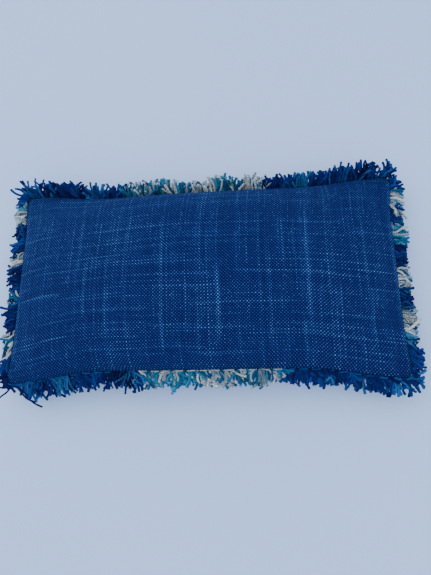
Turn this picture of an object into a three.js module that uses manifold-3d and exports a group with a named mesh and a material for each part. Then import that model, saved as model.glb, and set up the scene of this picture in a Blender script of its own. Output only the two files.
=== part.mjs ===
// A stuffed lumbar cushion with a brush fringe, as a three.js scene graph in millimetres, +Z up.
// The cushion lies on its back panel. X runs along its length, Y from the near long side to the far
// one, and the origin is at the centre of the footprint, on the surface that the cushion rests on.
import * as THREE from "three";
import { mergeVertices } from "three/addons/utils/BufferGeometryUtils.js";
import Module from "manifold-3d";

// Driving dimensions: a 305 x 559 mm (12 x 22 in) cover, stuffed, which draws its seams in.
const HALF_LENGTH = 270; // centre to corner, along X
const HALF_WIDTH = 141.5; // centre to corner, along Y
const LONG_SIDE_BOW = 15.5; // how far the middle of a long side draws in
const SHORT_SIDE_BOW = 6; // how far the middle of a short side draws in
const STRAIGHT_SHARE = 0.48; // share of each side, from its middle, that stays straight
const SEAM_HEIGHT = 37; // the seam's height along the sides
const CORNER_HEIGHT = 34; // the seam's height at the corners, which the filling holds off the bed
const CROWN_RISE = 71; // the top's highest point above the seam
const BELLY_DROP = 58; // how far the underside would hang below the seam if nothing flattened it
const LONG_FULLNESS = 2.1; // a higher power keeps the cushion full closer to its short sides
const LONG_TAPER = 0.7; // a higher power makes the short sides' edges sharper
const WIDE_FULLNESS = 2.4;
const WIDE_TAPER = 0.5;
const GAP = 0.3; // between pieces that touch

// Layers, from the outside in.
const COVER_CLOTH = 1.2;
const CASING_CLOTH = 0.6;
const INSERT_INSET = 14; // room for the seam allowances and the zipper tapes
const INSERT_LIFT = COVER_CLOTH + 3;

// Fringe: a woven header sewn into the seam, and the cut yarns that it holds.
const HEADER_THICKNESS = 1;
const HEADER_INSIDE = 7;
const HEADER_OUTSIDE = 4;
const SEAM_HALF_GAP = HEADER_THICKNESS / 2 + 0.4; // half the space between the panels' edges
const FRINGE_START = HEADER_OUTSIDE + 2 * GAP;
const FRINGE_END = 25;
const FRINGE_BELOW = 1; // the yarns' depth below the header's middle, and above it
const FRINGE_ABOVE = 5;
const FRINGE_SAG = 8; // how far the yarns' ends hang below their roots

// Zipper, in the straight stretch of the near seam, just under the fringe header.
const CHAIN_HALF_LENGTH = 122;
const COIL_HEIGHT = 1.9;
const COIL_DEPTH = 2.6;
const COIL_GAP = 0.2; // between the upper and the lower coil
const COIL_STANDOFF = 1.5; // how far the coils stand out past the seam line
const TAPE_THICKNESS = 0.5;
const TAPE_WIDTH = 12.5;
const TAPE_OVERRUN = 6; // tape past each end of the chain
const TAPE_LIFT = 0.2; // clear of the coil
const ZIP_DROP = 6.7; // how much lower the back panel's edge is where the zipper is
const ZIP_TO_SEAM = 4.1; // the zipper's middle below the header's middle
const STOP_LENGTH = 2;

// Slider and pull tab.
const SLIDER_LENGTH = 9;
const SLIDER_PLATE = 0.8;
const SLIDER_CLEARANCE = 0.4;
const SLIDER_LIP = 1.6; // how far each lip hooks in over a coil
const SLIDER_HALF_HEIGHT = 3.1;
const ARCH_LENGTH = 6;
const ARCH_WIDTH = 1.6;
const ARCH_POST = 1;
const ARCH_BAR = 0.8;
const ARCH_OPENING = 1.9;
const PULL_LENGTH = 22;
const PULL_HALF_WIDTH = 2.5;
const PULL_THICKNESS = 1;
const PULL_EYE_HALF_WIDTH = 1.2;
const PULL_EYE_START = 0.6; // from the pull's turning axis to the near and the far end of its eye
const PULL_EYE_END = 4.5;

// Meshing.
const LONG_STEPS = 24;
const SHORT_STEPS = 12;
const COVER_RINGS = [0.12, 0.3, 0.46, 0.58, 0.68, 0.77, 0.85, 0.92, 0.965, 0.99, 1];
const INSERT_RINGS = [0.12, 0.3, 0.46, 0.58, 0.68, 0.77, 0.85, 0.92, 0.965, 1];

const COLOURS = {
  cover: 0x123a72,
  header: 0x1b4f86,
  navy: 0x14245c,
  cream: 0xd8cfbc,
  casing: 0xe9e6df,
  filling: 0xf4f3f0,
  zip: 0x16305f,
  metal: 0xb9bcc2,
};

const wasm = await Module();
wasm.setup();

const cushion = new THREE.Group();

function material(colour, roughness = 0.9, metalness = 0) {
  return new THREE.MeshStandardMaterial({ color: colour, roughness, metalness });
}

function addPiece(name, geometry, finish) {
  const mesh = new THREE.Mesh(geometry, finish);
  mesh.name = name;
  cushion.add(mesh);
  return mesh;
}

// ---- Form of the cushion ------------------------------------------------------------------

// 0 over the straight middle of a side, rising smoothly to 1 at the corner.
function towardsCorner(share) {
  return THREE.MathUtils.smoothstep(Math.abs(share), STRAIGHT_SHARE, 1);
}

// Where (u, v), each from -1 to 1, lies in plan, on an outline drawn in by inset.
function inPlan(u, v, inset = 0) {
  const length = HALF_LENGTH - inset - SHORT_SIDE_BOW * (1 - towardsCorner(v));
  const width = HALF_WIDTH - inset - LONG_SIDE_BOW * (1 - towardsCorner(u));
  return { x: u * length, y: v * width };
}

function seamHeight(x, y) {
  const corner = towardsCorner(x / HALF_LENGTH) * towardsCorner(y / HALF_WIDTH);
  return SEAM_HEIGHT - (SEAM_HEIGHT - CORNER_HEIGHT) * corner;
}

// How full the cushion is at (u, v): 1 in the middle and 0 on the seam.
function fullness(u, v) {
  const along = Math.max(0, 1 - Math.abs(u) ** LONG_FULLNESS);
  const across = Math.max(0, 1 - Math.abs(v) ** WIDE_FULLNESS);
  return along ** LONG_TAPER * across ** WIDE_TAPER;
}

// The back panel's edge is lower along the zipper, to leave room for it.
function zipperRoom(x, y) {
  const reach = CHAIN_HALF_LENGTH + TAPE_OVERRUN;
  const along = 1 - THREE.MathUtils.smoothstep(Math.abs(x), reach + 12, reach + 40);
  const nearSide = THREE.MathUtils.smoothstep(-y, 0.45 * HALF_WIDTH, 0.8 * HALF_WIDTH);
  return ZIP_DROP * along * nearSide;
}

function topPoint(u, v, inset, depth) {
  const { x, y } = inPlan(u, v, inset);
  const rise = (CROWN_RISE - depth) * fullness(u, v);
  return new THREE.Vector3(x, y, seamHeight(x, y) + SEAM_HALF_GAP + rise);
}

function bottomPoint(u, v, inset, depth) {
  const { x, y } = inPlan(u, v, inset);
  const drop = (BELLY_DROP - depth) * fullness(u, v);
  const z = seamHeight(x, y) - SEAM_HALF_GAP - zipperRoom(x, y) - drop;
  return new THREE.Vector3(x, y, Math.max(depth, z));
}

// ---- Closed solids from rings of points ---------------------------------------------------

// Skins the rings one to the next and closes both ends with a fan. From ring number turn on, the
// rings run back under the first ones, and their quads split along the same diagonals as those.
function skin(rings, turn = rings.length) {
  const count = rings[0].length;
  const points = rings.flat();
  const faces = [];
  for (let ring = 0; ring + 1 < rings.length; ring++) {
    for (let i = 0; i < count; i++) {
      const a = ring * count + i;
      const b = ring * count + ((i + 1) % count);
      if (ring < turn) faces.push(a, b, b + count, a, b + count, a + count);
      else faces.push(a, b, a + count, b, b + count, a + count);
    }
  }
  const closeEnd = (first, turned) => {
    const ring = points.slice(first, first + count);
    const middle = ring.reduce((sum, p) => sum.add(p), new THREE.Vector3());
    const hub = points.push(middle.divideScalar(count)) - 1;
    for (let i = 0; i < count; i++) {
      const a = first + i;
      const b = first + ((i + 1) % count);
      faces.push(...(turned ? [hub, a, b] : [hub, b, a]));
    }
  };
  closeEnd(0, false);
  closeEnd((rings.length - 1) * count, true);
  return facingOut(points, faces);
}

// Turns every face round if the solid is inside out.
function facingOut(points, faces) {
  let volume = 0;
  for (let i = 0; i < faces.length; i += 3) {
    const [a, b, c] = [points[faces[i]], points[faces[i + 1]], points[faces[i + 2]]];
    volume += a.dot(new THREE.Vector3().crossVectors(b, c));
  }
  const ordered = volume < 0 ? faces.slice().reverse() : faces;
  const geometry = new THREE.BufferGeometry().setFromPoints(points);
  geometry.setIndex(ordered);
  geometry.computeVertexNormals();
  return geometry;
}

// Step i of steps along a side, from -1 to 1, closer together towards the corners.
function spread(i, steps) {
  return Math.sin((Math.PI / 2) * ((2 * i) / steps - 1));
}

// (u, v) places round the unit square.
function squareOutline(longSteps, shortSteps) {
  const places = [];
  for (let i = 0; i < longSteps; i++) places.push([spread(i, longSteps), -1]);
  for (let i = 0; i < shortSteps; i++) places.push([1, spread(i, shortSteps)]);
  for (let i = 0; i < longSteps; i++) places.push([-spread(i, longSteps), 1]);
  for (let i = 0; i < shortSteps; i++) places.push([-1, -spread(i, shortSteps)]);
  return places;
}

// A cloth shell: its outer face, rim and inner face. pointOn is topPoint or bottomPoint.
function shell(pointOn, inset, lift, cloth, shares, outline) {
  const ring = (share, offset) =>
    outline.map(([u, v]) => pointOn(u * share, v * share, inset + offset, lift + offset));
  const outer = shares.map((share) => ring(share, 0));
  const inner = shares.map((share) => ring(share, cloth)).reverse();
  return skin([...outer, ...inner], outer.length);
}

function addCover() {
  const outline = squareOutline(LONG_STEPS, SHORT_STEPS);
  const cloth = material(COLOURS.cover);
  const front = shell(topPoint, 0, 0, COVER_CLOTH, COVER_RINGS, outline);
  const back = shell(bottomPoint, 0, 0, COVER_CLOTH, COVER_RINGS, outline);
  addPiece("cover_front_panel", front, cloth);
  addPiece("cover_back_panel", back, cloth);
}

function addInsert() {
  const outline = squareOutline(LONG_STEPS, SHORT_STEPS);
  const casing = material(COLOURS.casing);
  const inside = [INSERT_INSET, INSERT_LIFT, CASING_CLOTH, INSERT_RINGS, outline];
  addPiece("insert_top_casing", shell(topPoint, ...inside), casing);
  addPiece("insert_bottom_casing", shell(bottomPoint, ...inside), casing);

  const inset = INSERT_INSET + CASING_CLOTH + GAP;
  const lift = INSERT_LIFT + CASING_CLOTH + GAP;
  const ring = (pointOn, share) =>
    outline.map(([u, v]) => pointOn(u * share, v * share, inset, lift));
  const upper = INSERT_RINGS.map((share) => ring(topPoint, share));
  const lower = INSERT_RINGS.map((share) => ring(bottomPoint, share)).reverse();
  const filling = skin([...upper, ...lower], upper.length);
  addPiece("insert_fibre_filling", filling, material(COLOURS.filling));
}

// ---- Fringe -------------------------------------------------------------------------------

// Each side of the seam, with its run from -1 to 1 and the way out of the cushion.
const SIDES = {
  near: { at: (t) => [t, -1], out: [0, -1], along: [1, 0], turns: 0.85 },
  far: { at: (t) => [t, 1], out: [0, 1], along: [1, 0], turns: 0.85 },
  left: { at: (t) => [-1, t], out: [-1, 0], along: [0, 1], turns: 0.75 },
  right: { at: (t) => [1, t], out: [1, 0], along: [0, 1], turns: 0.75 },
};

// The seam's point at t in plan, and the way out, which fans round to the corner's mitre.
function seamAt(side, t) {
  const { at, out, along, turns } = SIDES[side];
  const { x, y } = inPlan(...at(t));
  const fan = Math.sign(t) * THREE.MathUtils.smoothstep(Math.abs(t), turns, 1);
  const way = new THREE.Vector2(out[0] + along[0] * fan, out[1] + along[1] * fan);
  return { point: new THREE.Vector2(x, y), way };
}

// A band along one side through the places ts. section gives [outward, up] corners at a place.
// Each corner keeps its height over the seam where it lies, so the band stays between the panels.
function band(side, ts, section) {
  const rings = ts.map((t) => {
    const place = seamAt(side, t);
    return section(place).map(([outward, up]) => {
      const { x, y } = place.point.clone().addScaledVector(place.way, outward);
      return new THREE.Vector3(x, y, seamHeight(x, y) + up);
    });
  });
  return skin(rings);
}

// The header has a corner on the seam line, where it passes between the panels' edges.
function headerSection() {
  const half = HEADER_THICKNESS / 2;
  return [
    [-HEADER_INSIDE, -half],
    [0, -half],
    [HEADER_OUTSIDE, -half],
    [HEADER_OUTSIDE, half],
    [0, half],
    [-HEADER_INSIDE, half],
  ];
}

// The yarns' ends sag, except over the zipper, where they rest on its slider.
function yarnSection({ point, way }) {
  const overZipper = way.y < -0.9 ? 1 - towardsCorner(point.x / HALF_LENGTH) : 0;
  const sag = FRINGE_SAG * (1 - overZipper);
  return [
    [FRINGE_START, -FRINGE_BELOW],
    [FRINGE_END, -FRINGE_BELOW - sag],
    [FRINGE_END, FRINGE_ABOVE - sag],
    [FRINGE_START, FRINGE_ABOVE],
  ];
}

// Colour blocks along each side, as shares of it from its low X or low Y end: [colour, end].
const NEAR_BLOCKS = [
  ["navy", 0.345],
  ["cream", 0.7],
  ["navy", 1],
];
const FAR_BLOCKS = [
  ["navy", 0.3],
  ["cream", 0.675],
  ["navy", 1],
];
const LEFT_BLOCKS = [
  ["navy", 0.14],
  ["cream", 0.265],
  ["navy", 0.4],
  ["cream", 0.445],
  ["navy", 0.605],
  ["cream", 0.68],
  ["navy", 0.83],
  ["cream", 0.96],
  ["navy", 1],
];
const RIGHT_BLOCKS = [
  ["navy", 0.185],
  ["cream", 0.315],
  ["navy", 0.405],
  ["cream", 0.515],
  ["navy", 0.635],
  ["cream", 0.755],
  ["navy", 0.825],
  ["cream", 0.92],
  ["navy", 1],
];
const BLOCKS = { near: NEAR_BLOCKS, far: FAR_BLOCKS, left: LEFT_BLOCKS, right: RIGHT_BLOCKS };

function addFringe() {
  const mitre = 0.996; // stops each side just short of the corner's mitre
  const headerCloth = material(COLOURS.header);
  for (const side of Object.keys(SIDES)) {
    const isLong = side === "near" || side === "far";
    const sideLength = 2 * (isLong ? HALF_LENGTH : HALF_WIDTH);
    const seamSteps = isLong ? LONG_STEPS : SHORT_STEPS;
    const clampToMitre = (t) => THREE.MathUtils.clamp(t, -mitre, mitre);
    const seamPlaces = [...Array(seamSteps + 1).keys()].map((i) => spread(i, seamSteps));
    const header = band(side, seamPlaces.map(clampToMitre), headerSection);
    addPiece(`fringe_header_${side}`, header, headerCloth);

    const halfGap = GAP / sideLength;
    let start = 0;
    BLOCKS[side].forEach(([colour, end], i) => {
      const t0 = clampToMitre(2 * (start + halfGap) - 1);
      const t1 = clampToMitre(2 * (end - halfGap) - 1);
      const steps = Math.max(3, Math.round((sideLength * (end - start)) / 14));
      const places = [...Array(steps + 1).keys()].map((step) => t0 + ((t1 - t0) * step) / steps);
      const yarns = band(side, places, yarnSection);
      addPiece(`fringe_${side}_${i + 1}_${colour}`, yarns, material(COLOURS[colour], 1));
      start = end;
    });
  }
}

// ---- Zipper -------------------------------------------------------------------------------

const SEAM_Y = -(HALF_WIDTH - LONG_SIDE_BOW);
const ZIP_Z = SEAM_HEIGHT - ZIP_TO_SEAM;
const COIL_FRONT = SEAM_Y - COIL_STANDOFF; // the coils' outer face
const PLATE_BACK = COIL_FRONT - SLIDER_CLEARANCE;
const PLATE_FRONT = PLATE_BACK - SLIDER_PLATE;
const PULL_AXIS_Y = PLATE_FRONT - ARCH_OPENING / 2;
const SLIDER_X = CHAIN_HALF_LENGTH - SLIDER_LENGTH / 2 - 0.3; // closed, against the top stops

function block(from, to) {
  const size = to.map((value, i) => value - from[i]);
  const middle = to.map((value, i) => (value + from[i]) / 2);
  return new THREE.BoxGeometry(...size).translate(...middle);
}

// A three.js geometry as a manifold-3d solid.
function solid(geometry) {
  const bare = geometry.clone();
  bare.deleteAttribute("normal");
  bare.deleteAttribute("uv");
  const merged = mergeVertices(bare, 1e-4);
  const mesh = new wasm.Mesh({
    numProp: 3,
    vertProperties: merged.attributes.position.array,
    triVerts: new Uint32Array(merged.index.array),
  });
  return new wasm.Manifold(mesh);
}

function joined(geometries) {
  const whole = geometries.map(solid).reduce((sum, next) => sum.add(next));
  const mesh = whole.getMesh();
  const geometry = new THREE.BufferGeometry();
  geometry.setAttribute("position", new THREE.BufferAttribute(mesh.vertProperties, 3));
  geometry.setIndex(new THREE.BufferAttribute(mesh.triVerts, 1));
  return geometry;
}

function addZipperChain() {
  const tapeEnd = CHAIN_HALF_LENGTH + TAPE_OVERRUN;
  const tapeFront = PLATE_BACK + SLIDER_CLEARANCE + SLIDER_LIP + 0.4;
  const coilTop = COIL_GAP / 2 + COIL_HEIGHT;
  const woven = material(COLOURS.zip);
  for (const [place, way] of [["upper", 1], ["lower", -1]]) {
    const level = (near, far) => [ZIP_Z + way * near, ZIP_Z + way * far].sort((a, b) => a - b);
    const [coilLow, coilHigh] = level(COIL_GAP / 2, coilTop);
    const coil = block(
      [-CHAIN_HALF_LENGTH, COIL_FRONT, coilLow],
      [CHAIN_HALF_LENGTH, COIL_FRONT + COIL_DEPTH, coilHigh],
    );
    addPiece(`zipper_${place}_coil`, coil, material(COLOURS.zip, 0.5));

    const [tapeLow, tapeHigh] = level(coilTop + TAPE_LIFT, coilTop + TAPE_LIFT + TAPE_THICKNESS);
    const tape = block([-tapeEnd, tapeFront, tapeLow], [tapeEnd, tapeFront + TAPE_WIDTH, tapeHigh]);
    addPiece(`zipper_${place}_tape`, tape, woven);

    const stopStart = CHAIN_HALF_LENGTH + GAP;
    const [stopLow, stopHigh] = level(COIL_GAP / 2, coilTop);
    const stop = block(
      [stopStart, COIL_FRONT - 0.3, stopLow],
      [stopStart + STOP_LENGTH, COIL_FRONT + COIL_DEPTH, stopHigh],
    );
    addPiece(`zipper_${place}_top_stop`, stop, material(COLOURS.metal, 0.35, 1));
  }
  const end = -CHAIN_HALF_LENGTH - GAP;
  const bottomStop = block(
    [end - STOP_LENGTH, COIL_FRONT - 0.3, ZIP_Z - coilTop],
    [end, COIL_FRONT + COIL_DEPTH, ZIP_Z + coilTop],
  );
  addPiece("zipper_bottom_stop", bottomStop, material(COLOURS.metal, 0.35, 1));
}

// A plate with two lips that hook over the coils, and an arch that holds the pull tab.
function addSlider() {
  const halfLength = SLIDER_LENGTH / 2;
  const lipEnd = COIL_FRONT + SLIDER_LIP;
  const lipInner = SLIDER_HALF_HEIGHT - SLIDER_PLATE;
  const x0 = SLIDER_X - halfLength;
  const x1 = SLIDER_X + halfLength;
  const plate = block(
    [x0, PLATE_FRONT, ZIP_Z - SLIDER_HALF_HEIGHT],
    [x1, PLATE_BACK, ZIP_Z + SLIDER_HALF_HEIGHT],
  );
  const upperLip = block(
    [x0, PLATE_FRONT, ZIP_Z + lipInner],
    [x1, lipEnd, ZIP_Z + SLIDER_HALF_HEIGHT],
  );
  const lowerLip = block(
    [x0, PLATE_FRONT, ZIP_Z - SLIDER_HALF_HEIGHT],
    [x1, lipEnd, ZIP_Z - lipInner],
  );
  const archZ = [ZIP_Z - ARCH_WIDTH / 2, ZIP_Z + ARCH_WIDTH / 2];
  const archFront = PLATE_FRONT - ARCH_OPENING - ARCH_BAR;
  const posts = [-1, 1].map((end) => {
    const outer = SLIDER_X + (end * ARCH_LENGTH) / 2;
    const inner = outer - end * ARCH_POST;
    const [low, high] = [outer, inner].sort((a, b) => a - b);
    return block([low, archFront, archZ[0]], [high, PLATE_FRONT + SLIDER_PLATE / 2, archZ[1]]);
  });
  const bar = block(
    [SLIDER_X - ARCH_LENGTH / 2, archFront, archZ[0]],
    [SLIDER_X + ARCH_LENGTH / 2, archFront + ARCH_BAR, archZ[1]],
  );
  const body = joined([plate, upperLip, lowerLip, ...posts, bar]);
  addPiece("zipper_slider_body", body, material(COLOURS.metal, 0.35, 1));
}

// A flat tab along -X with an eye at its root, whose end bar passes under the slider's arch.
function addPullTab() {
  const outline = new THREE.Shape();
  const round = PULL_HALF_WIDTH;
  outline.moveTo(PULL_EYE_START, -PULL_HALF_WIDTH);
  outline.lineTo(PULL_EYE_START, PULL_HALF_WIDTH);
  outline.lineTo(-PULL_LENGTH + round, PULL_HALF_WIDTH);
  outline.absarc(-PULL_LENGTH + round, 0, round, Math.PI / 2, (3 * Math.PI) / 2, false);
  outline.lineTo(PULL_EYE_START, -PULL_HALF_WIDTH);
  const eye = new THREE.Path();
  eye.moveTo(-PULL_EYE_START, -PULL_EYE_HALF_WIDTH);
  eye.lineTo(-PULL_EYE_END, -PULL_EYE_HALF_WIDTH);
  eye.lineTo(-PULL_EYE_END, PULL_EYE_HALF_WIDTH);
  eye.lineTo(-PULL_EYE_START, PULL_EYE_HALF_WIDTH);
  outline.holes.push(eye);
  const tab = new THREE.ExtrudeGeometry(outline, {
    depth: PULL_THICKNESS,
    bevelEnabled: false,
    curveSegments: 8,
  });
  tab.translate(0, 0, -PULL_THICKNESS / 2);
  const pull = addPiece("zipper_pull_tab", tab, material(COLOURS.metal, 0.35, 1));
  pull.rotation.x = Math.PI / 2; // the tab's face looks out of the seam
  pull.position.set(SLIDER_X, PULL_AXIS_Y, ZIP_Z);
}

addCover();
addInsert();
addFringe();
addZipperChain();
addSlider();
addPullTab();

export default cushion;
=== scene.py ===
# %% [markdown]
# # A fringed lumbar cushion
# A stuffed rectangular cushion in a coarse two-tone blue weave. A brush fringe of cut yarns, dyed in
# blocks, is sewn into the seam all round, and a zipper hides under it along the near side. The packed
# model gives every size and place. The steps below replace its plain soft solids with sewn cloth,
# yarns and a coil, and keep everything in metres in the same frame.

# %% Load the frame
import math
from functools import partial

import bpy
import numpy as np
from mathutils import Matrix, Vector


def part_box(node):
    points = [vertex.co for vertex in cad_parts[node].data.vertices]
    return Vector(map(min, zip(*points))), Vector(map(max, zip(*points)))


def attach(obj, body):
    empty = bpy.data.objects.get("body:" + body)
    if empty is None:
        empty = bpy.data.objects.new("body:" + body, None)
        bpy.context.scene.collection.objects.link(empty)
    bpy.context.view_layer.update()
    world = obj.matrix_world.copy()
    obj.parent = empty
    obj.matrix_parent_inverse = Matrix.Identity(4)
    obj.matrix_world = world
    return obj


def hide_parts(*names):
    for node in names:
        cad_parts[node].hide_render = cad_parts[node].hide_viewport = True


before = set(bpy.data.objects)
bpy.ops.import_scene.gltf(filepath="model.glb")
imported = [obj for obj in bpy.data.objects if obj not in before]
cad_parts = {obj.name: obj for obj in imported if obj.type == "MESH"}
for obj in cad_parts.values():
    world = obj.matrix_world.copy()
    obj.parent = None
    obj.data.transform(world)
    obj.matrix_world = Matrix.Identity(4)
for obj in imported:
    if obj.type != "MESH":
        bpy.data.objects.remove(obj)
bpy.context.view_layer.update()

# %% [markdown]
# ## The camera
# The camera comes first, because everything after it is judged through it. It looks steeply down,
# from a little to the right of the near side, and it is tilted, as a hand-held camera is.

# %% Camera
SENSOR_MM = 36.0
LENS_MM = 28.174
CAMERA_AZIMUTH = math.radians(20.8)
CAMERA_ELEVATION = math.radians(72.9)
CAMERA_ROLL = math.radians(-22.0)
CAMERA_DISTANCE = 0.642
CAMERA_TARGET = Vector((0.0177, -0.0069, 0.014))


def add_camera():
    flat = math.cos(CAMERA_ELEVATION)
    back = Vector((math.sin(CAMERA_AZIMUTH) * flat, -math.cos(CAMERA_AZIMUTH) * flat,
                   math.sin(CAMERA_ELEVATION)))
    level = Vector((math.cos(CAMERA_AZIMUTH), math.sin(CAMERA_AZIMUTH), 0))
    upright = back.cross(level)
    right = level * math.cos(CAMERA_ROLL) + upright * math.sin(CAMERA_ROLL)
    up = upright * math.cos(CAMERA_ROLL) - level * math.sin(CAMERA_ROLL)
    data = bpy.data.cameras.new("camera")
    data.sensor_width = SENSOR_MM
    data.lens = LENS_MM
    data.clip_start = 0.01
    camera = bpy.data.objects.new("camera", data)
    bpy.context.scene.collection.objects.link(camera)
    turn = Matrix((right, up, back)).transposed().to_4x4()
    camera.matrix_world = Matrix.Translation(CAMERA_TARGET + back * CAMERA_DISTANCE) @ turn
    bpy.context.scene.camera = camera
    return camera


camera = add_camera()
print("camera at", [round(value, 3) for value in camera.matrix_world.translation])

# %% [markdown]
# ## Writing shaders as sums
# A cloth's colour is arithmetic: which thread is on top here, how thick it is, how light its dye came
# out. A small class wraps one socket, so that the arithmetic can be written as Python expressions,
# and each operator adds its Math node.

# %% Shader helper
class Socket:
    """One output socket of a material's node tree."""

    def __init__(self, finish, output):
        self.finish = finish
        self.output = output

    def math(self, operation, *values):
        return self.finish.node("ShaderNodeMath", {"operation": operation}, list(values))

    def __add__(self, other):
        return self.math("ADD", self, other)

    def __sub__(self, other):
        return self.math("SUBTRACT", self, other)

    def __rsub__(self, other):
        return self.math("SUBTRACT", other, self)

    def __mul__(self, other):
        return self.math("MULTIPLY", self, other)

    def __truediv__(self, other):
        return self.math("DIVIDE", self, other)

    __radd__ = __add__
    __rmul__ = __mul__


class Finish:
    """A material under construction: node() adds any node, given its settings and its inputs."""

    def __init__(self, name, **constants):
        self.material = bpy.data.materials.new(name)
        self.material.use_nodes = True
        self.tree = self.material.node_tree
        self.shader = self.tree.nodes["Principled BSDF"]
        for socket, value in constants.items():
            self.shader.inputs[socket.replace("_", " ")].default_value = value

    def feed(self, socket, value):
        if isinstance(value, Socket):
            self.tree.links.new(value.output, socket)
        else:
            socket.default_value = value

    def node(self, kind, settings=None, inputs=(), output=0):
        made = self.tree.nodes.new(kind)
        for name, value in (settings or {}).items():
            setattr(made, name, value)
        named = inputs.items() if isinstance(inputs, dict) else enumerate(inputs)
        for key, value in named:
            self.feed(made.inputs[key], value)
        return Socket(self, made.outputs[output])

    def parts(self, vector):
        split = self.node("ShaderNodeSeparateXYZ", {}, [vector]).output.node
        return [Socket(self, out) for out in split.outputs]

    def vector(self, x, y, z=0.0):
        return self.node("ShaderNodeCombineXYZ", {}, [x, y, z])

    def noise(self, where, scale, detail=2.0, rough=0.5):
        return self.node("ShaderNodeTexNoise", {},
                         {"Vector": where, "Scale": scale, "Detail": detail, "Roughness": rough})

    def step(self, value, low, high, start=0.0, end=1.0):
        settings = {"interpolation_type": "SMOOTHSTEP"}
        return self.node("ShaderNodeMapRange", settings, [value, low, high, start, end])

    def random(self, number):
        return self.node("ShaderNodeTexWhiteNoise", {"noise_dimensions": "1D"}, {"W": number})

    def mix(self, share, first, second):
        made = self.tree.nodes.new("ShaderNodeMix")
        made.data_type = "RGBA"
        for key, value in ((0, share), (6, first), (7, second)):
            self.feed(made.inputs[key], value)
        return Socket(self, made.outputs[2])

    def shade(self, colour, brightness):
        """colour times a brightness that varies over the surface."""
        return self.node("ShaderNodeVectorMath", {"operation": "SCALE"},
                         {"Vector": colour, "Scale": brightness})

    def bump(self, height, distance, strength=1.0):
        normal = self.node("ShaderNodeBump", {},
                           {"Strength": strength, "Distance": distance, "Height": height})
        self.feed(self.shader.inputs["Normal"], normal)

    def colour(self, value):
        self.feed(self.shader.inputs["Base Color"], value)

    def roughness(self, value):
        self.feed(self.shader.inputs["Roughness"], value)


def dye(red, green, blue):
    """A colour as it is read off a screen, from 0 to 255, as the linear colour that shaders use."""
    def linear(value):
        share = value / 255
        return share / 12.92 if share <= 0.04045 else ((share + 0.055) / 1.055) ** 2.4
    return (linear(red), linear(green), linear(blue), 1.0)


# %% [markdown]
# ## The room
# A plain pale sheet for a floor, a bright even sky and two large soft lamps, so that the cushion has
# hardly any shadow.

# %% Floor and lights
FLOOR_SIZE = 6.0
SKY = dye(196, 212, 236)


def add_floor():
    bpy.ops.object.select_all(action="DESELECT")
    bpy.ops.mesh.primitive_plane_add(size=FLOOR_SIZE)
    floor = bpy.context.object
    floor.name = "floor"
    sheet = Finish("pale_sheet", Roughness=0.95, Specular_IOR_Level=0.2)
    where = sheet.node("ShaderNodeTexCoord", {}, [], "Object")
    patches = sheet.noise(where, 1.5)
    sheet.colour(sheet.mix(patches, dye(192, 215, 248), dye(184, 208, 244)))
    floor.data.materials.append(sheet.material)


def add_lamp(name, place, size, watts, colour):
    data = bpy.data.lights.new(name, "AREA")
    data.shape = "DISK"
    data.size = size
    data.energy = watts
    data.color = colour[:3]
    lamp = bpy.data.objects.new(name, data)
    lamp.location = place
    lamp.rotation_euler = (-Vector(place)).to_track_quat("-Z", "Y").to_euler()
    bpy.context.scene.collection.objects.link(lamp)


def add_sky(strength):
    world = bpy.data.worlds.new("sky")
    bpy.context.scene.world = world
    world.use_nodes = True
    backdrop = world.node_tree.nodes["Background"]
    backdrop.inputs["Color"].default_value = SKY
    backdrop.inputs["Strength"].default_value = strength


add_floor()
add_sky(1.5)
add_lamp("window", (-1.0, 1.0, 1.9), 1.8, 18, dye(236, 242, 255))
add_lamp("ceiling", (0.5, -0.8, 2.2), 2.4, 24, dye(250, 250, 255))

# %% [markdown]
# ## The form of the cushion
# The cover is two flat rectangles sewn together and stuffed. Stuffing draws the seam in between the
# corners and lifts it off the bed, and leaves the corners flat and low. u runs along the length and v
# across, each from -1 to 1 on the seam. Past 1 the cloth folds in under itself, as its seam
# allowance does.

# %% Form functions
HALF_LENGTH, HALF_WIDTH = 0.270, 0.1415
LONG_SIDE_BOW, SHORT_SIDE_BOW = 0.0155, 0.006
STRAIGHT_SHARE = 0.48
SEAM_HEIGHT, CORNER_HEIGHT = 0.037, 0.034
SEAM_HALF_GAP = 0.0009
CROWN_RISE, BELLY_DROP = 0.071, 0.058
LONG_FULLNESS, LONG_TAPER = 2.1, 0.7
WIDE_FULLNESS, WIDE_TAPER = 2.4, 0.5
ZIP_DROP = 0.0067
ZIP_HALF_LENGTH = 0.128
ZIP_END_INSIDE, ZIP_END_OUTSIDE = 0.007, 0.006  # where the drop fades, about each end of the tapes
CORNER_RADIUS = 0.015
CUT_HALF_LENGTH, CUT_HALF_WIDTH = 0.2795, 0.1560


def ease(value, low, high):
    share = np.clip((value - low) / (high - low), 0, 1)
    return share * share * (3 - 2 * share)


def towards_corner(share):
    return ease(np.abs(share), STRAIGHT_SHARE, 1)


def corner_pull(u, v):
    """How far the rounding of a corner draws a point in: nothing, except close to a corner."""
    past_u = np.clip(1 - (1 - np.abs(u)) * HALF_LENGTH / CORNER_RADIUS, 0, 1)
    past_v = np.clip(1 - (1 - np.abs(v)) * HALF_WIDTH / CORNER_RADIUS, 0, 1)
    return (1 - math.sqrt(0.5)) * CORNER_RADIUS * (past_u * past_v) ** 1.7


def in_plan(u, v):
    inside_u, inside_v = np.clip(u, -1, 1), np.clip(v, -1, 1)
    length = HALF_LENGTH - SHORT_SIDE_BOW * (1 - towards_corner(inside_v))
    width = HALF_WIDTH - LONG_SIDE_BOW * (1 - towards_corner(inside_u))
    pull = corner_pull(inside_u, inside_v)
    x = inside_u * length - (u - inside_u) * HALF_LENGTH - np.sign(u) * pull
    y = inside_v * width - (v - inside_v) * HALF_WIDTH - np.sign(v) * pull
    return x, y


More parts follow.
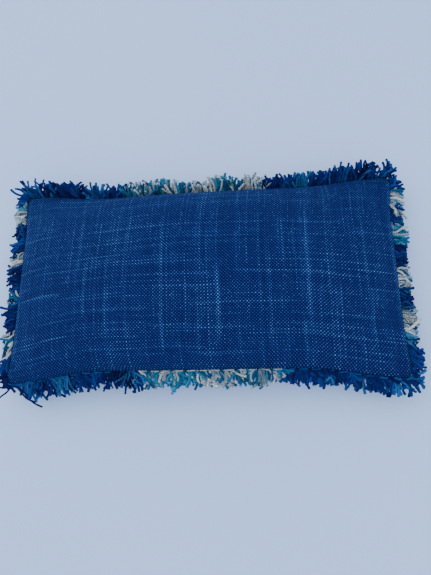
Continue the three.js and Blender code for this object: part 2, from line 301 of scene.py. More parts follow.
def seam_height(x, y):
    corner = towards_corner(x / HALF_LENGTH) * towards_corner(y / HALF_WIDTH)
    return SEAM_HEIGHT - (SEAM_HEIGHT - CORNER_HEIGHT) * corner


def fullness(u, v):
    along = 1 - np.clip(np.abs(u), 0, 1) ** LONG_FULLNESS
    across = 1 - np.clip(np.abs(v), 0, 1) ** WIDE_FULLNESS
    return along ** LONG_TAPER * across ** WIDE_TAPER


def front_form(u, v):
    x, y = in_plan(u, v)
    return np.stack([x, y, seam_height(x, y) + SEAM_HALF_GAP + CROWN_RISE * fullness(u, v)], -1)


def back_form(u, v):
    x, y = in_plan(u, v)
    along = 1 - ease(np.abs(x), ZIP_HALF_LENGTH - ZIP_END_INSIDE, ZIP_HALF_LENGTH + ZIP_END_OUTSIDE)
    near_side = ease(-y, 0.45 * HALF_WIDTH, 0.8 * HALF_WIDTH)
    drop = BELLY_DROP * fullness(u, v) + ZIP_DROP * along * near_side
    z = seam_height(x, y) - SEAM_HALF_GAP - drop
    return np.stack([x, y, np.maximum(z, 0)], -1)


print("crown at", round(float(front_form(np.array(0.0), np.array(0.0))[2]) * 1000), "mm")

# %% [markdown]
# ## Making and finishing pieces
# Every piece ends the same way: it gets its finish, rides on its body, and hides the plain solids that
# it stands for.

# %% Piece helpers
def start_grid(columns, rows, reach_u, reach_v):
    bpy.ops.object.select_all(action="DESELECT")
    bpy.ops.mesh.primitive_grid_add(x_subdivisions=columns, y_subdivisions=rows, size=2)
    piece = bpy.context.object
    piece.data.transform(Matrix.Diagonal((reach_u, reach_v, 1, 1)))
    return piece


def points_of(piece):
    flat = np.empty(3 * len(piece.data.vertices))
    piece.data.vertices.foreach_get("co", flat)
    return flat.reshape(-1, 3)


def put_points(piece, points):
    piece.data.vertices.foreach_set("co", np.ascontiguousarray(points, dtype=float).ravel())
    piece.data.update()


def lay_uv(piece, name, places):
    """Gives every point of the piece its place in its one UV layer, which gets the name."""
    layers = piece.data.uv_layers
    layer = layers.active or layers.new()
    layer.name = name
    corners = np.empty(len(piece.data.loops), dtype=np.int32)
    piece.data.loops.foreach_get("vertex_index", corners)
    layer.data.foreach_set("uv", places[corners].ravel())


def select_only(piece):
    bpy.ops.object.select_all(action="DESELECT")
    piece.select_set(True)
    bpy.context.view_layer.objects.active = piece


def apply_modifier(piece, name, kind, **settings):
    modifier = piece.modifiers.new(name, kind)
    for setting, value in settings.items():
        setattr(modifier, setting, value)
    select_only(piece)
    bpy.ops.object.modifier_apply(modifier=modifier.name)


def in_edit_mode(piece, *steps):
    select_only(piece)
    bpy.ops.object.mode_set(mode="EDIT")
    bpy.ops.mesh.select_all(action="SELECT")
    for step in steps:
        step()
    bpy.ops.object.mode_set(mode="OBJECT")


def face_outward(piece):
    in_edit_mode(piece, lambda: bpy.ops.mesh.normals_make_consistent(inside=False))


def complete(piece, name, finish, body, slot, *nodes):
    piece.name = name
    piece.data.name = name
    piece.data.materials.clear()
    piece.data.materials.append(finish.material)
    piece.data.shade_smooth()
    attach(piece, body)
    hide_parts(*nodes)
    print(f"{name}: {len(piece.data.polygons)} faces")
    return piece


# %% [markdown]
# ## The cover's cloth finish
# The weave has a dark navy thread one way and a lighter azure one the other way. Wherever the azure
# thread comes to the top it shows as a short slanted dash, and the dashes make a diamond lattice. Two
# crossed waves draw that lattice: one wave alone is a diagonal rib, and both alike are square dots.
# Each thread is round and spun from fibres, so the bump is high along the middle of whichever thread
# is on top, and fine streaks run along it. The yarn is spun uneven, so some threads are thicker and
# lighter for a stretch, and those slubs draw the loose plaid that shows from a distance.

# %% Cover finish
THREAD_ALONG = 0.00222  # from one thread to the next, along the length
THREAD_ACROSS = 0.00245  # and across the width
WAVER_ALONG, WAVER_ACROSS = 0.0022, 0.0018  # how far the threads stray, here and there
DRIFT_ALONG, DRIFT_ACROSS = -0.008, 0.012  # and over a longer way
WEAKEST_RIB, STRONGEST_RIB = 0.3844, 1.1  # the second diagonal's strength beside the first's
SLUB_SHARE = 0.42  # of the threads that have finer slubs
PAINTED_EDGE_LIGHT = 0.22  # how much painted light brightens the cloth where it turns in at the short sides, over the shade at its rim
DARK_THREAD, MIDDLE_THREAD, LIGHT_THREAD = dye(0, 0, 56), dye(14, 50, 112), dye(84, 134, 182)

# The boldest slubs. Each is the share of the half width or half length at which the thread lies,
# the shares between which it is thick, how many threads go with it, and how light it is.
LENGTHWAYS_SLUBS = [
    (0.23, 0.32, 0.62, 1, 0.5), (0.12, -0.74, -0.34, 1, 0.5), (0.05, -0.56, 0.0, 1, 0.8),
    (-0.04, 0.74, 1.0, 1, 0.8), (-0.10, 0.14, 0.70, 1, 0.9), (-0.17, -0.42, 0.0, 1, 0.7),
    (-0.24, -0.92, -0.66, 2, 0.5), (-0.29, -0.72, -0.28, 1, 0.6), (-0.28, 0.44, 0.82, 1, 0.5),
    (-0.39, -0.06, 0.54, 1, 0.6), (-0.44, -0.70, -0.16, 2, 0.6), (-0.49, 0.56, 0.88, 1, 0.7),
    (-0.56, -0.68, -0.16, 1, 0.6), (-0.66, -0.92, -0.62, 1, 0.7), (-0.68, 0.46, 0.82, 1, 0.6),
]
CROSSWAYS_SLUBS = [
    (-0.68, -0.90, -0.10, 1, 0.4), (-0.585, -0.05, 0.68, 2, 0.5), (-0.55, -0.55, 0.12, 2, 0.7),
    (-0.43, -0.70, 0.10, 1, 0.8), (-0.16, -0.95, 0.66, 2, 0.8), (-0.13, -0.90, 0.80, 1, 0.5),
    (-0.04, -0.48, 0.16, 1, 0.6), (0.11, -0.82, 0.04, 3, 0.9), (0.22, 0.02, 0.58, 1, 0.7),
    (0.31, -0.30, 0.06, 1, 0.5), (0.35, -0.95, 0.28, 2, 0.5), (0.42, -0.04, 0.50, 1, 0.8),
    (0.48, -0.30, 0.58, 1, 0.5), (0.53, -0.74, 0.66, 2, 0.6), (0.63, -0.30, 0.36, 1, 0.5),
    (0.675, -0.96, -0.10, 1, 0.9), (0.83, -0.68, -0.20, 2, 0.5),
]


def bold_slubs(cloth, thread, pitch, half_width, along, half_length, slubs):
    """How light the boldest slubs make a place on thread number thread."""
    broken = cloth.noise(cloth.vector(thread * 3.1, along * 45.0), 1.0, 1.0)
    total = broken * 0
    for place, start, end, width, weight in slubs:
        number = round(place * half_width / pitch) + (width % 2 == 0) / 2
        middle, reach = (start + end) / 2 * half_length, (end - start) / 2 * half_length
        on_thread = thread.math("COMPARE", thread, number, width / 2)
        off_middle = (along - middle).math("ABSOLUTE", along - middle)
        total = total + on_thread * cloth.step(off_middle, reach, reach * 0.6, 0.0, weight)
    return total * (broken * 0.7 + 0.20)


def fine_slubs(cloth, thread, along, seed, share):
    """The lesser slubs, scattered: how light thread number thread is at the place along it."""
    chosen = cloth.step(cloth.random(thread + seed), 1 - share, 1 - 0.35 * share)
    where = cloth.vector(thread * 7.31 + seed, along * 12.0)
    stretch = cloth.step(cloth.noise(where, 1.0, 1.0), 0.42, 0.60)
    return chosen * stretch


def weave_finish(name):
    cloth = Finish(name, Roughness=0.88, Specular_IOR_Level=0.15, Sheen_Weight=0.06,
                   Sheen_Roughness=0.4, Sheen_Tint=dye(40, 130, 230))
    cut = cloth.node("ShaderNodeUVMap", {"uv_map": "cut"})
    along, across, _ = cloth.parts(cut)
    waver = cloth.noise(cut, 16.0, 2.0) - 0.5
    shift = cloth.noise(cut, 7.0, 1.0)
    drift = shift - 0.5
    a = (along + waver * WAVER_ALONG + drift * DRIFT_ALONG) / THREAD_ALONG
    b = (across + waver * WAVER_ACROSS + drift * DRIFT_ACROSS) / THREAD_ACROSS
    thread_a = a.math("ROUND", a)
    thread_b = b.math("ROUND", b)
    cosine = lambda value: value.math("COSINE", value * math.pi)
    second = cloth.step(shift, 0.38, 0.66, WEAKEST_RIB, STRONGEST_RIB)
    lattice = cosine(a + b) + cosine(a - b) * second
    dash = cloth.step(lattice, -0.75, 1.6)
    streaks_along = cloth.noise(cloth.vector(along * 500.0, across * 4200.0), 1.0, 2.0)
    streaks_across = cloth.noise(cloth.vector(along * 4200.0, across * 500.0), 1.0, 2.0)
    on_top = cloth.step(lattice, -0.4, 0.5)
    light_round = cosine(b - thread_b) * (cosine(a - thread_a) * 0.5 + 0.5)
    dark_round = cosine(a - thread_a) * (cosine(b - thread_b) * 0.5 + 0.5)
    thread_height = dark_round + (light_round - dark_round) * on_top
    streaks = streaks_across + (streaks_along - streaks_across) * on_top

    crossways = (fine_slubs(cloth, thread_a, across, 11.0, SLUB_SHARE) * 0.42
                 + bold_slubs(cloth, thread_a, THREAD_ALONG, CUT_HALF_LENGTH,
                              across, CUT_HALF_WIDTH, CROSSWAYS_SLUBS))
    lengthways = (fine_slubs(cloth, thread_b, along, 57.0, SLUB_SHARE) * 0.44
                  + bold_slubs(cloth, thread_b, THREAD_ACROSS, CUT_HALF_WIDTH,
                               along, CUT_HALF_LENGTH, LENGTHWAYS_SLUBS))
    bands = (cloth.noise(cloth.vector(thread_a * 0.13, 3.0), 1.0, 2.0)
             + cloth.noise(cloth.vector(8.0, thread_b * 0.15), 1.0, 2.0) - 1.0)
    chance = cloth.random(thread_a * 3.7 + thread_b * 91.3)
    single = (chance - 0.5) * 0.5 + cloth.step(chance, 0.80, 1.0)
    uneven = cloth.random(thread_a + 5.0) + cloth.random(thread_b + 31.0) - 1.0
    mottle = cloth.noise(cut, 22.0, 3.0) - 0.5
    # Painted light: the cloth is made lighter close to the short sides, where its rim turns down into
    # shade beside the fringe.
    short_edge = CUT_HALF_LENGTH - along.math("ABSOLUTE", along)
    wear_and_painted_edge_light = cloth.step(short_edge, 0.001, 0.012, PAINTED_EDGE_LIGHT, 0.0)
    # The thread_height term paints shade into the colour, darker in the gaps between threads where
    # neither thread is high.
    light = (dash * (0.42 + crossways * 0.32 + lengthways * 0.26 + single * 0.15 + uneven * 0.10)
             + crossways * 0.12 + lengthways * 0.18 + mottle * 0.06 + bands * 0.12
             + (streaks - 0.5) * 0.30 + (thread_height - 0.45) * 0.16 + wear_and_painted_edge_light + 0.01)
    light = light.math("MINIMUM", light.math("MAXIMUM", light, 0.0), 1.0)
    low = cloth.mix(cloth.step(light, 0.0, 0.48), DARK_THREAD, MIDDLE_THREAD)
    cloth.colour(cloth.mix(cloth.step(light, 0.36, 1.0), low, LIGHT_THREAD))
    cloth.bump(thread_height + crossways * 0.3 + lengthways * 0.3 + streaks * 0.5, 0.0007, 0.8)
    cloth.roughness(0.92 - dash * 0.12)
    return cloth


cover_finish = weave_finish("cover_weave")
print("thread pitch", THREAD_ALONG * 1000, "by", THREAD_ACROSS * 1000, "mm")

# %% [markdown]
# ## The cover panels
# Each panel starts as a flat grid, the size that the cloth was cut, and is laid on the stuffed form
# with its edge held in the seam. A cloth simulation then blows it up from inside. Its threads want to
# keep the flat panel's lengths, so the cloth tightens over the crown and gathers in small puckers
# where the seam has drawn it in. The move is capped, so the cushion keeps its size.

# %% Cover panels
HALF_COLUMNS, HALF_ROWS, FOLD_CELLS = 66, 34, 2
CLOTH_THICKNESS = 0.0012
SWELL_CAP = 0.007
EDGE_CROWDING = 0.65  # how far the grid's lines crowd towards the seam


def crowd(share):
    inside = np.clip(share, -1, 1)
    crowded = (1 - EDGE_CROWDING) * inside + EDGE_CROWDING * np.sin(np.pi / 2 * inside)
    return crowded + (share - inside)


def billow(panel, flat_cut, held, pressure, frames=22):
    """Runs the cloth from the panel's form, and leaves the mesh at its last frame, capped."""
    start = points_of(panel)
    panel.shape_key_add(name="sewn")
    cut = panel.shape_key_add(name="cut")
    cut.data.foreach_set("co", np.ascontiguousarray(flat_cut).ravel())
    group = panel.vertex_groups.new(name="seam")
    group.add([int(i) for i in np.flatnonzero(held)], 1.0, "REPLACE")
    cloth = panel.modifiers.new("Cloth", "CLOTH")
    settings = cloth.settings
    settings.quality = 6
    settings.mass = 0.3
    settings.tension_stiffness = settings.compression_stiffness = 18
    settings.shear_stiffness = 8
    settings.bending_stiffness = 0.6
    settings.vertex_group_mass = "seam"
    settings.rest_shape_key = cut
    settings.use_pressure = True
    settings.uniform_pressure_force = pressure
    settings.effector_weights.gravity = 0
    cloth.collision_settings.use_collision = False
    cloth.point_cache.frame_start = 1
    cloth.point_cache.frame_end = frames
    scene = bpy.context.scene
    for moment in range(1, frames + 1):
        scene.frame_set(moment)
    stuffed = panel.evaluated_get(bpy.context.evaluated_depsgraph_get())
    moved = np.empty(3 * len(panel.data.vertices))
    stuffed.data.vertices.foreach_get("co", moved)
    panel.modifiers.remove(cloth)
    panel.shape_key_clear()
    scene.frame_set(1)
    move = moved.reshape(-1, 3) - start
    length = np.linalg.norm(move, axis=1, keepdims=True)
    reach = SWELL_CAP * np.tanh(length / SWELL_CAP)
    move *= reach / np.maximum(length, 1e-9)
    move[held] = 0
    put_points(panel, start + move)
    print(f"billow: mean {length.mean() * 1000:.1f} mm, most {length.max() * 1000:.1f} mm")


def cut_panel(form, pressure):
    columns, rows = 2 * (HALF_COLUMNS + FOLD_CELLS), 2 * (HALF_ROWS + FOLD_CELLS)
    reach_u, reach_v = 1 + FOLD_CELLS / HALF_COLUMNS, 1 + FOLD_CELLS / HALF_ROWS
    panel = start_grid(columns, rows, reach_u, reach_v)
    places = points_of(panel)
    u, v = crowd(places[:, 0]), crowd(places[:, 1])
    flat_cut = np.stack([u * CUT_HALF_LENGTH, v * CUT_HALF_WIDTH, 0 * u], -1)
    put_points(panel, form(u, v))
    lay_uv(panel, "cut", flat_cut[:, :2])
    held = (np.abs(places[:, 0]) > 1 - 1e-4) | (np.abs(places[:, 1]) > 1 - 1e-4)
    if form is back_form:
        in_edit_mode(panel, bpy.ops.mesh.flip_normals)
    billow(panel, flat_cut, held, pressure)
    return panel


def keep_off_bed(panel):
    points = points_of(panel)
    points[:, 2] = np.maximum(points[:, 2], 0.0)
    put_points(panel, points)


front = cut_panel(front_form, 4.0)
back = cut_panel(back_form, 4.0)
keep_off_bed(back)
front_places, back_places = points_of(front), points_of(back)
for panel in (front, back):
    apply_modifier(panel, "round", "SUBSURF", levels=1, render_levels=1)
    apply_modifier(panel, "cloth", "SOLIDIFY", thickness=CLOTH_THICKNESS, offset=-1)
keep_off_bed(back)
complete(front, "cover_front", cover_finish, "cushion", "cover_weave", "cover_front_panel")
complete(back, "cover_back", cover_finish, "cushion", "cover_weave", "cover_back_panel")

# %% [markdown]
# ## The insert
# Inside the cover is a plain casing, also two panels, filled with fibre. Nobody sees it until the
# zipper is open, so it follows the finished cover, a little smaller, with a pinched edge.

# %% Insert
INSERT_COLUMNS, INSERT_ROWS = 60, 32
CASING_THICKNESS = 0.0006


def plain_cloth_finish(name, first, second, pitch):
    cloth = Finish(name, Roughness=0.9, Specular_IOR_Level=0.2, Sheen_Weight=0.15)
    where = cloth.node("ShaderNodeTexCoord", {}, [], "Object")
    x, y, z = cloth.parts(where)
    wave = lambda value: value.math("SINE", value * (2 * math.pi / pitch))
    threads = wave(x + z * 0.4) * wave(y + z * 0.4)
    speckle = cloth.noise(where, 900.0, 2.0)
    cloth.colour(cloth.mix(speckle, first, second))
    cloth.bump(threads * 0.4 + speckle, 0.0003, 0.5)
    return cloth


def fibre_finish(name):
    wadding = Finish(name, Roughness=0.95, Specular_IOR_Level=0.2, Sheen_Weight=0.3)
    where = wadding.node("ShaderNodeTexCoord", {}, [], "Object")
    strands = wadding.noise(where, 420.0, 5.0, 0.7)
    clumps = wadding.noise(where, 40.0, 2.0)
    wadding.colour(wadding.mix(strands, dye(226, 226, 224), dye(250, 250, 249)))
    wadding.bump(strands * 0.5 + clumps, 0.002, 0.6)
    return wadding


def cover_at(places, u, v):
    """The finished cover panel's point at (u, v), read off its grid before it was thickened."""
    columns, rows = 2 * (HALF_COLUMNS + FOLD_CELLS) + 1, 2 * (HALF_ROWS + FOLD_CELLS) + 1
    grid = places.reshape(rows, columns, 3)
    column = (u + 1) * HALF_COLUMNS + FOLD_CELLS
    row = (v + 1) * HALF_ROWS + FOLD_CELLS
    i, j = np.floor(column).astype(int), np.floor(row).astype(int)
    s, t = (column - i)[:, None], (row - j)[:, None]
    low = grid[j, i] * (1 - s) + grid[j, i + 1] * s
    high = grid[j + 1, i] * (1 - s) + grid[j + 1, i + 1] * s
    return low * (1 - t) + high * t


def inside_cover(places, u, v, margin, lift):
    """A layer margin in from the seam and lift under the cover, pinched together at its edge."""
    shrink_u, shrink_v = 1 - margin / HALF_LENGTH, 1 - margin / HALF_WIDTH
    points = cover_at(places, u * shrink_u, v * shrink_v)
    edge = np.clip(fullness(u, v) * 2.5, 0, 1)
    middle = seam_height(points[:, 0], points[:, 1])
    side = 1 if places is front_places else -1
    points[:, 2] = middle + side * np.maximum(
        (np.abs(points[:, 2] - middle) - lift) * edge, 0.0004)
    return points


def add_casing(places, name, node):
    piece = start_grid(INSERT_COLUMNS, INSERT_ROWS, 1, 1)
    flat = points_of(piece)
    put_points(piece, inside_cover(places, flat[:, 0], flat[:, 1], 0.015, 0.0030))
    if places is back_places:
        in_edit_mode(piece, bpy.ops.mesh.flip_normals)
    apply_modifier(piece, "cloth", "SOLIDIFY", thickness=CASING_THICKNESS, offset=-1)
    return complete(piece, name, casing_finish, "cushion", "insert_casing", node)


def add_filling():
    piece = start_grid(INSERT_COLUMNS, INSERT_ROWS, 1, 1)
    in_edit_mode(piece, lambda: bpy.ops.mesh.extrude_region_move(
        TRANSFORM_OT_translate={"value": (0, 0, 1)}))
    flat = points_of(piece)
    u, v, upper = flat[:, 0], flat[:, 1], flat[:, 2] > 0.5
    above = inside_cover(front_places, u, v, 0.018, 0.0042)
    below = inside_cover(back_places, u, v, 0.018, 0.0042)
    put_points(piece, np.where(upper[:, None], above, below))
    face_outward(piece)
    return complete(piece, "insert_filling", wadding_finish, "cushion", "fibre_filling",
                    "insert_fibre_filling")


casing_finish = plain_cloth_finish("insert_casing", dye(236, 233, 226), dye(222, 219, 212), 0.0007)
wadding_finish = fibre_finish("fibre_filling")
casings = [add_casing(front_places, "insert_casing_top", "insert_top_casing"),
           add_casing(back_places, "insert_casing_bottom", "insert_bottom_casing")]
filling = add_filling()

# %% [markdown]
# ## The seam as a path
# The fringe and its header follow the seam. Each side is a path from -1 to 1, with the way out of the
# cushion at every place, which fans round towards the corners.

# %% Seam path
SIDES = {
    "near": {"out": (0, -1), "along": (1, 0), "turns": 0.93, "half": HALF_LENGTH},
    "far": {"out": (0, 1), "along": (1, 0), "turns": 0.85, "half": HALF_LENGTH},
    "left": {"out": (-1, 0), "along": (0, 1), "turns": 0.75, "half": HALF_WIDTH},
    "right": {"out": (1, 0), "along": (0, 1), "turns": 0.75, "half": HALF_WIDTH},
}


def seam_at(side, t):
    """Points on the seam at the places t, and the unit way out at each, both in 3-D."""
    out, along = np.array(SIDES[side]["out"]), np.array(SIDES[side]["along"])
    edge = np.full_like(t, out.sum())
    x, y = in_plan(t, edge) if along[0] else in_plan(edge, t)
    fan = np.sign(t) * ease(np.abs(t), SIDES[side]["turns"], 1)
    way = out[None, :] + along[None, :] * fan[:, None]
    way = way / np.linalg.norm(way, axis=1, keepdims=True)
    flat = np.zeros_like(t)
    return np.stack([x, y, seam_height(x, y)], -1), np.stack([way[:, 0], way[:, 1], flat], -1)


# %% [markdown]
# ## The fringe header
# A narrow woven tape, sewn between the two panels, holds the fringe's yarns. Only its outer edge can
# be seen, from close by. It is a strip of grid, laid along the seam and given its thickness.

# %% Header tape
HEADER_INSIDE, HEADER_OUTSIDE, HEADER_THICKNESS = 0.007, 0.004, 0.0010
HEADER_ROWS, LONG_SIDE_STEPS, SHORT_SIDE_STEPS = 6, 130, 70
MITRE = 0.992  # the share of a side that its header and yarns take up


def header_finish(name):
    tape = Finish(name, Roughness=0.9, Specular_IOR_Level=0.25, Sheen_Weight=0.2)
    where = tape.node("ShaderNodeUVMap", {"uv_map": "run"})
    along, across, _ = tape.parts(where)
    ribs = along.math("SINE", along * (2 * math.pi / 0.0016))
    lines = across.math("SINE", across * (2 * math.pi / 0.0022))
    speckle = tape.noise(where, 700.0)
    tape.colour(tape.mix(tape.step(ribs + speckle, -0.4, 1.4), dye(8, 40, 104), dye(28, 92, 156)))
    tape.bump(ribs * 0.6 + lines * 0.3 + speckle * 0.3, 0.0004, 0.6)
    return tape


def add_strip(side, steps):
    """A strip of grid along a side, from inside the seam to outside it, with its run as its UV."""
    piece = start_grid(steps, HEADER_ROWS, 1, 1)
    flat = points_of(piece)
    t = flat[:, 0] * MITRE
    outward = (HEADER_OUTSIDE + HEADER_INSIDE) * (flat[:, 1] + 1) / 2 - HEADER_INSIDE
    seam, way = seam_at(side, t)
    put_points(piece, seam + way * outward[:, None])
    lay_uv(piece, "run", np.stack([t * SIDES[side]["half"], outward], -1))
    return piece


tape_finish = header_finish("header_tape")
for side, facts in SIDES.items():
    header = add_strip(side, LONG_SIDE_STEPS if facts["half"] == HALF_LENGTH else SHORT_SIDE_STEPS)
    face_outward(header)
    apply_modifier(header, "woven", "SOLIDIFY", thickness=HEADER_THICKNESS, offset=0)
    face_outward(header)
    complete(header, f"header_{side}", tape_finish, "cushion", "header_tape",
             f"fringe_header_{side}")

# %% [markdown]
# ## One yarn
# The fringe is more than 2,600 cut ends of a soft two-ply yarn. One is modelled here: a six-sided
# cylinder, cut into rings, pinched into two plies, twisted, and a little open at its cut end. Its
# height runs from 0 at the header to 1 at the cut end, so that it can be bent along any curve.

# %% Yarn model
YARN_SIDES, YARN_RINGS = 6, 10
YARN_RADIUS = 0.0020
PLY_PINCH = 0.74
YARN_TWIST = math.radians(560)
PLY_TURNS = 5  # how many times the fine plies wind round, more than the yarn's own twist


def cut_ring(height):
    bpy.ops.mesh.select_all(action="SELECT")
    bpy.ops.mesh.bisect(plane_co=(0, 0, height), plane_no=(0, 0, 1))


def model_yarn():
    bpy.ops.object.select_all(action="DESELECT")
    bpy.ops.mesh.primitive_cylinder_add(vertices=YARN_SIDES, radius=1, depth=1,
                                        location=(0, 0, 0.5), end_fill_type="NGON")
    yarn = bpy.context.object
    bpy.ops.object.transform_apply(location=True, rotation=True, scale=True)
    in_edit_mode(yarn, *(partial(cut_ring, ring / YARN_RINGS) for ring in range(1, YARN_RINGS)))
    points = points_of(yarn)
    height = points[:, 2]
    angle = np.arctan2(points[:, 1], points[:, 0])
    ply = np.where(np.abs(np.cos(angle)) > 0.9, 1.0, PLY_PINCH)
    flare = ply * (0.72 + 0.28 * ease(height, 0, 0.3) + 0.16 * ease(height, 0.8, 1))
    turned = angle + YARN_TWIST * height
    put_points(yarn, np.stack([flare * np.cos(turned), flare * np.sin(turned), height], -1))
    faces = [list(face.vertices) for face in yarn.data.polygons]
    model = {"points": points_of(yarn), "faces": faces, "angle": angle}
    bpy.data.objects.remove(yarn)
    return model


yarn_model = model_yarn()
print("one yarn:", len(yarn_model["points"]), "points,", len(yarn_model["faces"]), "faces")

# %% [markdown]
# ## Laying yarns
# Each yarn is the model bent along its own curve. The curve leaves the header along the way out,
# leans to one side, rises a little and sags at its end. Neighbours lean together in tufts.

# %% Yarn laying
def bend_yarns(root, heading, side_way, length, rise, sag, curl, sway, radius):
    """Points of every yarn: arrays of (yarns, points of the model, 3)."""
    model = yarn_model["points"]
    s = model[:, 2][None, :, None]
    up = np.array([0, 0, 1.0])
    length, rise, sag, curl, sway, radius = (
        value[:, None, None] for value in (length, rise, sag, curl, sway, radius))

    def centre(share):
        aside = curl * share ** 2 + sway * np.sin(2 * math.pi * share)
        flat = heading[:, None, :] * share + side_way[:, None, :] * aside
        return root[:, None, :] + length * (flat + up * (rise * share - sag * share ** 2))

    line = centre(s)
    tangent = centre(s + 0.01) - line
    tangent /= np.linalg.norm(tangent, axis=2, keepdims=True)
    across = np.cross(tangent, up)
    across /= np.linalg.norm(across, axis=2, keepdims=True)
    over = np.cross(across, tangent)
    return line + radius * (across * model[None, :, 0:1] + over * model[None, :, 1:2])


def yarn_mesh(name, points, tints):
    """One mesh of all the yarns, with each yarn's own dye and a UV that runs along and round it."""
    count, size, _ = points.shape
    faces = [[index + size * yarn for index in face]
             for yarn in range(count) for face in yarn_model["faces"]]
    mesh = bpy.data.meshes.new(name)
    mesh.from_pydata(points.reshape(-1, 3), [], faces)
    dyed = mesh.color_attributes.new("yarn_dye", "FLOAT_COLOR", "POINT")
    dyed.data.foreach_set("color", np.repeat(tints, size, axis=0).astype(np.float32).ravel())
    piece = bpy.data.objects.new(name, mesh)
    bpy.context.scene.collection.objects.link(piece)
    lay = np.stack([yarn_model["angle"] / (2 * math.pi), yarn_model["points"][:, 2]], -1)
    lay_uv(piece, "lay", np.tile(lay, (count, 1)))
    return piece


# %% [markdown]
# ## The fringe's dyes
# The dark blocks mix navy, royal blue and a little teal, and the light ones mix undyed cream with
# azure. Each yarn takes one dye, a shade lighter or darker than the last: partly the dye varies, and
# partly it is painted shade that stands for the shadows between yarns.

# %% Dyes and yarn finish
DYES = {
    "navy": [(dye(0, 10, 78), 0.20), (dye(0, 26, 108), 0.29), (dye(2, 48, 130), 0.25),
             (dye(10, 66, 144), 0.16), (dye(30, 98, 156), 0.10)],
    "cream": [(dye(206, 212, 206), 0.34), (dye(182, 194, 196), 0.20), (dye(130, 154, 168), 0.06),
              (dye(10, 98, 142), 0.23), (dye(48, 136, 172), 0.17)],
}
STITCH_DYES = {"navy": dye(22, 92, 160), "cream": dye(226, 230, 226)}
DYE_RUN = 0.0075  # of seam that came out of the dye bath alike


def pick_dyes(rng, family, places, half):
    """A dye for each yarn. Three in four take the dye of the run that they stand in."""
    colours = np.array([colour for colour, _ in DYES[family]])
    shares = np.array([share for _, share in DYES[family]])
    run = np.floor((places + 1) * half / DYE_RUN).astype(int)
    run_dye = rng.choice(len(colours), run.max() + 1, p=shares)
    own_dye = rng.choice(len(colours), len(places), p=shares)
    chosen = np.where(rng.random(len(places)) < 0.75, run_dye[run], own_dye)
    tints = colours[chosen]
    # Each yarn is made lighter or darker at random: partly its dye varies, and partly this is painted
    # shade that stands for the shadows between yarns.
    tints[:, :3] *= rng.uniform(0.5, 1.3, (len(places), 1))
    return np.clip(tints, 0, 1)


def yarn_finish(name):
    yarn = Finish(name, Roughness=0.92, Specular_IOR_Level=0.12, Sheen_Weight=0.06,
                  Sheen_Roughness=0.5, Sheen_Tint=dye(90, 150, 220))
    tint = yarn.node("ShaderNodeVertexColor", {"layer_name": "yarn_dye"})
    round_it, along, _ = yarn.parts(yarn.node("ShaderNodeUVMap", {"uv_map": "lay"}))
    where = yarn.node("ShaderNodeTexCoord", {}, [], "Object")
    wound = round_it * (4 * math.pi) - along * (2 * math.pi * PLY_TURNS)
    plies = yarn.step(wound.math("COSINE", wound), -1.0, 0.5)
    x, y, z = yarn.parts(where)
    lay = yarn.vector(round_it * 16.0 - along * (8.0 * PLY_TURNS), along * 5.0, (x + y + z) * 60.0)
    hairs = yarn.noise(lay, 1.0, 3.0, 0.7)
    fluff = yarn.noise(where, 1500.0, 3.0, 0.7)
    lint = yarn.noise(where, 380.0, 2.0)
    # Painted shade: each yarn is darker near the header, where the yarns crowd together and shade one
    # another.
    root_painted_shade = yarn.step(along, 0.0, 0.3, 0.8, 1.0)
    # The plies term paints shade into the grooves between the plies; the hairs, fluff and lint terms
    # make the yarn lighter and darker in streaks and specks.
    ply_shade_and_fibre_streaks = plies * 0.34 + hairs * 0.50 + fluff * 0.36 + lint * 0.44
    yarn.colour(yarn.shade(tint, ply_shade_and_fibre_streaks * root_painted_shade))
    yarn.bump(plies * 1.0 + hairs * 0.7 + fluff * 0.6, 0.0009, 1.0)
    return yarn


yarn_finishes = {family: yarn_finish(f"{family}_yarn") for family in DYES}

# %% [markdown]
# ## The fringe blocks
# Each block of colour is one piece: its yarns in five layers over the header, and the short stitches
# that hold them, which show as dashes just outside the seam. Over the zipper the yarns stay level, so
# that the slider can pass under them.

# %% Fringe blocks
BLOCKS = {
    "near": [("navy", 0.345), ("cream", 0.7), ("navy", 1)],
    "far": [("navy", 0.3), ("cream", 0.675), ("navy", 1)],
    "left": [("navy", 0.14), ("cream", 0.265), ("navy", 0.4), ("cream", 0.445), ("navy", 0.605),
             ("cream", 0.68), ("navy", 0.83), ("cream", 0.96), ("navy", 1)],
    "right": [("navy", 0.185), ("cream", 0.315), ("navy", 0.405), ("cream", 0.515),
              ("navy", 0.635), ("cream", 0.755), ("navy", 0.825), ("cream", 0.92), ("navy", 1)],
}
YARN_SPACING = 0.00058  # of seam to each yarn, over all the layers
LAYERS = 5
TUFT_WIDTH = 0.0105
CORNER_THINNING = 0.5  # the share of the yarns that is missing right at a corner
MOST_LEAN = 1.15
ZIP_CLEARANCE = 0.03  # how far past the zipper's ends the yarns over it stay level
# Per side: the yarns' length at its low end and at its high end, their mean lean and its spread,
# the slope of the lowest and the highest layer as they leave the header, how far the ends sag, as
# shares of the length, and how far over the seam the highest layer starts.
HANGS = {
    "near": {"length": (0.0225, 0.0190), "lean": (0.28, 0.44), "rise": (-0.02, 0.30),
             "sag": 0.40, "over": 0.0026},
    "far": {"length": (0.0245, 0.0232), "lean": (0.05, 0.42), "rise": (0.02, 1.80),
            "sag": 0.34, "over": 0.0026},
    "left": {"length": (0.0165, 0.0262), "lean": (-0.30, 0.50), "rise": (-0.10, 0.55),
             "sag": 0.80, "over": 0.0038},
    "right": {"length": (0.0190, 0.0190), "lean": (-0.35, 0.50), "rise": (-0.10, 0.55),
              "sag": 0.80, "over": 0.0038},
}
STITCH_SPACING, STITCH_LENGTH, STITCH_RADIUS = 0.0150, 0.0108, 0.0012
